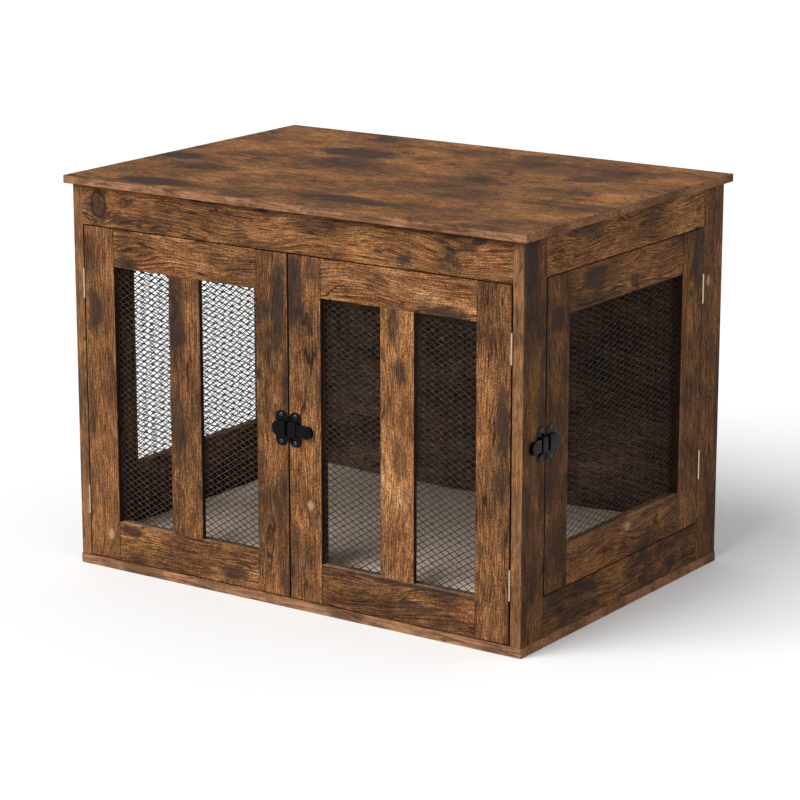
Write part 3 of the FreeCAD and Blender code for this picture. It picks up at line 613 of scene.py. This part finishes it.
def hard_finish(name, dark, light, rough, metallic, specular=0.5):
    """A metal or enamel that is a little uneven in colour and gloss."""
    material, t, shader = new_finish(name)
    coordinates = t.nodes.new("ShaderNodeTexCoord").outputs["Object"]
    patchy = clouds(t, coordinates, (300, 300, 300), 3.0, 0.6)
    feed(t, shader, {
        "Base Color": blended(t, patchy, display(*dark), display(*light)),
        "Roughness": ease(t, patchy, 0.3, 0.7, rough - 0.05, rough + 0.05),
        "Metallic": metallic, "Specular IOR Level": specular})
    return material


def softened(node, rounding, material):
    """A copy of a CAD node whose sharp rims are rounded, as pressing and plating leave them."""
    shape = bmesh.new()
    shape.from_mesh(frame["nodes"][node].data)
    bmesh.ops.remove_doubles(shape, verts=shape.verts, dist=1e-5)
    bmesh.ops.dissolve_limit(shape, angle_limit=math.radians(1), verts=shape.verts,
                             edges=shape.edges)
    mesh = bpy.data.meshes.new(node + "_finished")
    shape.to_mesh(mesh)
    shape.free()
    mesh.shade_smooth()
    mesh.set_sharp_from_angle(angle=SHARP)
    mesh.materials.clear()
    mesh.materials.append(material)
    piece = new_piece(mesh.name, mesh)
    rim = piece.modifiers.new("rounded_rims", "BEVEL")
    rim.width, rim.segments, rim.limit_method, rim.angle_limit = rounding, 3, "ANGLE", SHARP
    rim.harden_normals = True
    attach(piece, BODY_OF[node])
    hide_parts(node)


LEAF_ROUNDING, PIN_ROUNDING = 0.00012, 0.0003
bright_zinc = hard_finish("bright_zinc", (176, 160, 136), (208, 192, 166), 0.30, 1.0)
for node in ("hinge_frame_leaves", "left_door_hinge_leaves", "right_door_hinge_leaves",
             "side_door_hinge_leaves"):
    softened(node, LEAF_ROUNDING, bright_zinc)
softened("hinge_pins", PIN_ROUNDING, bright_zinc)

# One screw with a domed head and a cross recess, in millimetres, set on each of the given
# places. The sizes here are those of the latches' pan-head screws.
screw_tree, get, made = new_effect("cross_head_screws", [
    ("Geometry", "NodeSocketGeometry", None),
    ("Radius", NUMBER, 3.6),
    ("Crown", NUMBER, 2.0),
    ("Cross Reach", NUMBER, 1.9),
    ("Cross Width", NUMBER, 0.8),
    ("Cross Depth", NUMBER, 1.1),
    ("Shank Radius", NUMBER, 1.4),
    ("Shank Length", NUMBER, 10.0),
    ("Facing", VECTOR, None),
    ("Finish", "NodeSocketMaterial", None),
], [("Geometry", "NodeSocketGeometry")], "GeometryNodeTree")
t = screw_tree
dome = add_node(t, "GeometryNodeMeshUVSphere", {"Segments": 24, "Rings": 12, "Radius": 1.0})
dome = add_node(t, "GeometryNodeTransform", {
    "Geometry": dome.outputs[0], "Scale": vector(t, get["Radius"], get["Radius"], get["Crown"])})
cross_long = calculate(t, "MULTIPLY", get["Cross Reach"], 2.0)
cross_deep = calculate(t, "MULTIPLY", get["Cross Depth"], 2.0)
cut = add_node(t, "GeometryNodeMeshCube", {
    "Size": vector(t, cross_long, get["Cross Width"], cross_deep)})
cross = t.nodes.new("GeometryNodeJoinGeometry")
for turn in (0.0, math.pi / 2):
    arm = add_node(t, "GeometryNodeTransform", {
        "Geometry": cut.outputs[0], "Translation": vector(t, z=get["Crown"]),
        "Rotation": (0, 0, turn)})
    t.links.new(arm.outputs[0], cross.inputs[0])
head = add_node(t, "GeometryNodeMeshBoolean", {
    0: dome.outputs[0], 1: cross.outputs[0], "Self Intersection": True},
    operation="DIFFERENCE", solver="EXACT")
shank = add_node(t, "GeometryNodeMeshCylinder", {
    "Vertices": 12, "Radius": get["Shank Radius"], "Depth": get["Shank Length"]})
lowered = calculate(t, "MULTIPLY", get["Shank Length"], -0.5)
shank = add_node(t, "GeometryNodeTransform", {
    "Geometry": shank.outputs[0], "Translation": vector(t, z=lowered)})
screw = t.nodes.new("GeometryNodeJoinGeometry")
t.links.new(head.outputs[0], screw.inputs[0])
t.links.new(shank.outputs[0], screw.inputs[0])
spin = add_node(t, "FunctionNodeRandomValue", {"Max": (0, 0, math.pi), "Seed": 4},
                data_type="FLOAT_VECTOR")
spin = add_node(t, "FunctionNodeEulerToRotation", {0: spin.outputs[0]})
faced = add_node(t, "FunctionNodeEulerToRotation", {0: get["Facing"]})
set_in = add_node(t, "FunctionNodeRotateRotation", {
    "Rotation": faced.outputs[0], "Rotate By": spin.outputs[0]}, rotation_space="LOCAL")
screws = add_node(t, "GeometryNodeInstanceOnPoints", {
    "Points": get["Geometry"], "Instance": screw.outputs[0], "Rotation": set_in.outputs[0],
    "Scale": (MM, MM, MM)})
real = add_node(t, "GeometryNodeRealizeInstances", {"Geometry": screws.outputs[0]})
finished = add_node(t, "GeometryNodeSetMaterial", {
    "Geometry": real.outputs[0], "Material": get["Finish"]})
feed(t, made, {"Geometry": finished.outputs[0]})

FACING = {"-x": (0, -math.pi / 2, 0), "+x": (0, math.pi / 2, 0), "-y": (math.pi / 2, 0, 0),
          "+y": (-math.pi / 2, 0, 0), "-z": (math.pi, 0, 0)}


def screws_at(name, places, facing, body, slot, finish, **sizes):
    """Screws whose heads sit on these places, with sizes in millimetres."""
    values = {key.replace("_", " ").title(): size for key, size in sizes.items()}
    piece = grown(name, screw_tree, values | {"Facing": FACING[facing], "Finish": finish}, places)
    piece.data.shade_smooth()
    piece.data.set_sharp_from_angle(angle=SHARP)
    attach(piece, body)
    return piece


# The leaves' faces and the screws' places, from the middle of the pin.
LEAF_FACE, SCREW_BACK, SCREW_APART, HALF_HINGE = 0.0002, 0.0086, 0.013, 0.0225
PINS = {joint["child"]: Vector(joint["pos_m"]) for joint in frame["joints"]
        if joint["type"] == "hinge"}
for body, along, out_sign in (("right_door", "x", 1), ("left_door", "x", -1),
                              ("side_door", "y", 1)):
    pin = PINS[body]
    low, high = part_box(body + "_hinge_leaves")
    heights = [z + step for z in (low.z + HALF_HINGE, high.z - HALF_HINGE)
               for step in (-SCREW_APART, SCREW_APART)]
    for holder, side in (("crate", 1), (body, -1)):
        face = side * out_sign * LEAF_FACE
        if along == "x":
            places = [(pin.x + face, pin.y + SCREW_BACK, z) for z in heights]
        else:
            places = [(pin.x - SCREW_BACK, pin.y + face, z) for z in heights]
        facing = ("-" if side * out_sign > 0 else "+") + along
        screws_at(f"{body}_{'frame' if side > 0 else 'leaf'}_hinge_screws", places, facing,
                  holder, "zinc_screw", bright_zinc, radius=2.4, crown=0.14, cross_reach=1.5,
                  cross_width=0.5, cross_depth=0.12, shank_radius=1.2, shank_length=8.0)

# ------------------------------------------------------------------ base screws
# Long zinc-plated screws run up through the base board into the posts. Their heads are let
# into the board's lower face.
base_zinc = hard_finish("screw_zinc", (150, 150, 148), (188, 188, 184), 0.38, 1.0)
low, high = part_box("base_screws")
HEAD_RADIUS = 0.005
places = [(x, y, low.z) for x in (low.x + HEAD_RADIUS, high.x - HEAD_RADIUS)
          for y in (low.y + HEAD_RADIUS, high.y - HEAD_RADIUS)]
base = screws_at("base_screws_finished", places, "-z", "crate", "zinc_screw", base_zinc,
                 radius=5.0, crown=0.7, cross_reach=2.6, cross_width=1.0, cross_depth=0.8,
                 shank_radius=3.2, shank_length=48.0)
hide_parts("base_screws")

# ------------------------------------------------------------------ sliding bolts
# A flat bolt slides under a bridge into a round-ended keeper. All of it is pressed steel
# under a thick black enamel, held by black pan-head screws.
ENAMEL_ROUNDING = 0.0005
enamel = hard_finish("black_enamel", (6, 6, 7), (12, 12, 14), 0.10, 0.0, 0.08)
for node in ("front_bolt_housing", "side_bolt_housing", "front_keeper", "side_keeper",
             "front_bolt", "side_bolt"):
    softened(node, ENAMEL_ROUNDING, enamel)
screw_black = hard_finish("bright_black_screws", (10, 10, 11), (22, 22, 24), 0.10, 0.0, 0.6)
PAN_RADIUS, PAN_CROWN = 0.0036, 0.0020
for node in ("front_keeper_screws", "front_housing_screws", "side_housing_screws",
             "side_keeper_screws"):
    low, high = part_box(node)
    middle = (low + high) / 2
    heights = low.z + PAN_RADIUS, high.z - PAN_RADIUS
    if node.startswith("front"):
        places, facing = [(middle.x, low.y + PAN_CROWN, z) for z in heights], "-y"
    else:
        places, facing = [(high.x - PAN_CROWN, middle.y, z) for z in heights], "+x"
    piece = screws_at(node + "_finished", places, facing, BODY_OF[node], "latch_screw",
                      screw_black)
    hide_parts(node)

# ------------------------------------------------------------------ cushion
# One flat foam cushion in a woven pale taupe cover fills the floor of the crate, with a
# corded seam round its edge. It lies loose on the base board.
low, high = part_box("cushion")
middle = (low + high) / 2
HALF_LONG, HALF_WIDE = (high.x - low.x) / 2, (high.y - low.y) / 2
CORNER, DRAW_IN, SHRINK, EDGE_POINTS = 0.036, 0.009, 0.005, 240
START_LOW, START_TOP, EDGE_ROUNDING = low.z + 0.0012, low.z + 0.037, 0.010
CELL, PRESSURE, LAST_STEP, SWELL, OFF_BOARD = 0.0065, 4.0, 20, 0.0085, 0.0002
THICKER, THICKER_FROM, THICKER_OVER = 0.010, -0.05, 0.25


def cushion_edge(inset):
    """The cushion's outline from above: round corners, and sides that draw in between."""
    points = []
    long, wide = HALF_LONG - inset - CORNER, HALF_WIDE - inset - CORNER
    for step in range(EDGE_POINTS):
        turn = math.tau * (step + 0.5) / EDGE_POINTS
        cos, sin = math.cos(turn), math.sin(turn)
        reach = min(1 / max(abs(cos) / (long + CORNER), 1e-9),
                    1 / max(abs(sin) / (wide + CORNER), 1e-9))
        x, y = reach * cos, reach * sin
        over_x, over_y = max(abs(x) - long, 0), max(abs(y) - wide, 0)
        if over_x > 0 and over_y > 0:
            over = math.hypot(over_x, over_y)
            x = math.copysign(long + over_x * CORNER / over, x)
            y = math.copysign(wide + over_y * CORNER / over, y)
        x -= math.copysign(DRAW_IN * max(0.0, 1 - (y / wide) ** 2), x) * (over_y == 0)
        y -= math.copysign(DRAW_IN * max(0.0, 1 - (x / long) ** 2), y) * (over_x == 0)
        points.append((middle.x + x, middle.y + y))
    return points


shape = bmesh.new()
rim = cushion_edge(SHRINK)
bottom = shape.faces.new([shape.verts.new((x, y, START_LOW)) for x, y in rim])
raised = bmesh.ops.extrude_face_region(shape, geom=[bottom])["geom"]
bmesh.ops.translate(shape, vec=(0, 0, START_TOP - START_LOW),
                    verts=[part for part in raised if isinstance(part, bmesh.types.BMVert)])
bmesh.ops.recalc_face_normals(shape, faces=shape.faces)
bmesh.ops.bevel(shape, geom=[edge for edge in shape.edges if edge.calc_face_angle() > SHARP],
                offset=EDGE_ROUNDING, segments=4, profile=0.5, affect="EDGES")
cushion_mesh = bpy.data.meshes.new("crate_cushion")
shape.to_mesh(cushion_mesh)
shape.free()
cushion = new_piece("crate_cushion", cushion_mesh)
remesh = cushion.modifiers.new("even_faces", "REMESH")
remesh.mode, remesh.voxel_size = "VOXEL", CELL
settle(cushion)
# The filling is a little thicker towards the side door.
for vertex in cushion.data.vertices:
    share = min(max((vertex.co.x - THICKER_FROM) / THICKER_OVER, 0.0), 1.0)
    vertex.co.z += THICKER * share * (vertex.co.z - low.z) / (START_TOP - low.z)
before = [vertex.co.copy() for vertex in cushion.data.vertices]
cloth = cushion.modifiers.new("fill", "CLOTH")
cloth.settings.use_pressure = True
cloth.settings.uniform_pressure_force = PRESSURE
cloth.settings.effector_weights.gravity = 0.0
cloth.settings.quality = 5
cloth.point_cache.frame_start, cloth.point_cache.frame_end = 1, LAST_STEP
for step in range(1, LAST_STEP + 1):
    bpy.context.scene.frame_set(step)
settle(cushion)
bpy.context.scene.frame_set(1)
for vertex, start in zip(cushion.data.vertices, before):
    moved = vertex.co - start
    if moved.length > SWELL:
        moved *= SWELL / moved.length
    vertex.co = start + moved
    vertex.co.z = max(vertex.co.z, low.z + OFF_BOARD)
finer = cushion.modifiers.new("finer", "SUBSURF")
finer.levels = finer.render_levels = 1
settle(cushion)
cushion.data.shade_smooth()

CLOTH, PALE_CLOTH, THREADS = display(214, 191, 169), display(243, 224, 203), 210.0
cover, t, shader = new_finish("cushion_cloth")
coordinates = t.nodes.new("ShaderNodeTexCoord").outputs["Object"]
fuzz = clouds(t, coordinates, (650, 650, 650), 3.0, 0.7)
shaded = clouds(t, coordinates, (9, 9, 9), 2.0, 0.5)
warp, weft = (add_node(t, "ShaderNodeTexWave", {
    "Vector": coordinates, "Scale": THREADS, "Distortion": 1.5, "Detail": 1.0},
    bands_direction=way).outputs[1] for way in "XY")
weave = calculate(t, "MAXIMUM", warp, weft)
colour = blended(t, ease(t, fuzz, 0.3, 0.7), CLOTH, PALE_CLOTH)
colour = along_vectors(t, "MULTIPLY", colour, grey(t, ease(t, weave, 0.0, 1.0, 0.88, 1.06)))
colour = along_vectors(t, "MULTIPLY", colour, grey(t, ease(t, shaded, 0.3, 0.7, 0.94, 1.04)))
height = calculate(t, "MULTIPLY_ADD", fuzz, 0.6, weave)
bump = add_node(t, "ShaderNodeBump", {"Height": height, "Strength": 0.4, "Distance": 0.0005})
feed(t, shader, {
    "Base Color": colour, "Roughness": ease(t, fuzz, 0.3, 0.7, 0.98, 0.88),
    "Specular IOR Level": 0.1, "Sheen Weight": 0.15, "Normal": bump.outputs[0]})
cushion.data.materials.clear()
cushion.data.materials.append(cover)

# The seam's cord follows the filled cover at half its height.
surface = BVHTree.FromPolygons([vertex.co for vertex in cushion.data.vertices],
                               [face.vertices for face in cushion.data.polygons])
SEAM_HEIGHT, CORD = (START_LOW + START_TOP) / 2, 0.0018
outline = [surface.find_nearest(Vector((x, y, SEAM_HEIGHT)))[0] for x, y in cushion_edge(0.0)]
line = bpy.data.curves.new("seam_line", "CURVE")
line.dimensions = "3D"
strand = line.splines.new("POLY")
strand.points.add(len(outline) - 1)
for point, place in zip(strand.points, outline):
    point.co = (*place, 1.0)
strand.use_cyclic_u = True
line.bevel_depth, line.bevel_resolution = CORD, 3
carrier = new_piece("seam_line", line)
seam_mesh = plain_mesh(carrier)
bpy.data.objects.remove(carrier)
seam_mesh.materials.clear()
seam_mesh.materials.append(cover)
seam_mesh.shade_smooth()
seam = new_piece("cushion_seam", seam_mesh)
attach(seam, "crate")
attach(cushion, "crate")
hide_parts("cushion")

# ------------------------------------------------------------------ studio
# A pale floor, an even white surround, one broad soft light from high at the front left and
# a weak round lamp at the right. The camera looks down a little from the front right.
FLOOR_REACH, FLOOR_SEEN, FLOOR_DIM = 60.0, display(248, 248, 248), display(160, 160, 160)
floor_mesh = bpy.data.meshes.new("floor")
corners = [(-1, -1), (1, -1), (1, 1), (-1, 1)]
floor_mesh.from_pydata([(x * FLOOR_REACH, y * FLOOR_REACH, 0) for x, y in corners], [],
                       [(0, 1, 2, 3)])
floor = new_piece("floor", floor_mesh)


def seen_rays(tree):
    """1 for the rays that show a surface: the camera's and those off metal or through glass."""
    rays = tree.nodes.new("ShaderNodeLightPath").outputs
    seen = calculate(tree, "MAXIMUM", rays["Is Camera Ray"], rays["Is Glossy Ray"])
    return calculate(tree, "MAXIMUM", seen, rays["Is Transmission Ray"])


paper, t, shader = new_finish("pale_floor")
feed(t, shader, {"Base Color": blended(t, seen_rays(t), FLOOR_DIM, FLOOR_SEEN),
                 "Roughness": 1.0, "Specular IOR Level": 0.0})
floor_mesh.materials.append(paper)

WALL_LIGHT, WALL_SEEN = 0.52, 1.0
world = bpy.data.worlds.new("surround")
bpy.context.scene.world = world
world.use_nodes = True
t = world.node_tree
feed(t, t.nodes["Background"].inputs, {
    "Strength": ease(t, seen_rays(t), 0.0, 1.0, WALL_LIGHT, WALL_SEEN), "Color": (1, 1, 1, 1)})

BROAD_ANGLE, LAMP_SIZE, LAMP_AWAY = math.radians(46), 2.0, 3.2
CRATE_MIDDLE = Vector((0.0, 0.0, 0.3))
for name, kind, direction, power in (
        ("key", "SUN", (-0.25, -0.66, 0.73), 2.7),
        ("side_fill", "AREA", (0.85, -0.45, 0.30), 3.0)):
    lamp = bpy.data.lights.new(name, kind)
    lamp.energy = power
    if kind == "SUN":
        lamp.angle = BROAD_ANGLE
    else:
        lamp.shape, lamp.size = "DISK", LAMP_SIZE
    holder = new_piece(name, lamp)
    toward = Vector(direction).normalized()
    holder.location = toward * LAMP_AWAY + CRATE_MIDDLE
    holder.rotation_euler = toward.to_track_quat("Z", "Y").to_euler()
    holder.visible_camera = False

CAMERA_PLACE, LOOK_DOWN, LOOK_LEFT = (2.4928, -3.6069, 1.3768), 14.326, 34.623
camera = bpy.data.cameras.new("camera")
camera.sensor_width, camera.lens = 36.0, 133.4
viewer = new_piece("camera", camera)
viewer.location = CAMERA_PLACE
viewer.rotation_euler = (math.radians(90 - LOOK_DOWN), 0.0, math.radians(LOOK_LEFT))
bpy.context.scene.camera = viewer
bpy.context.scene.view_settings.view_transform = "Standard"
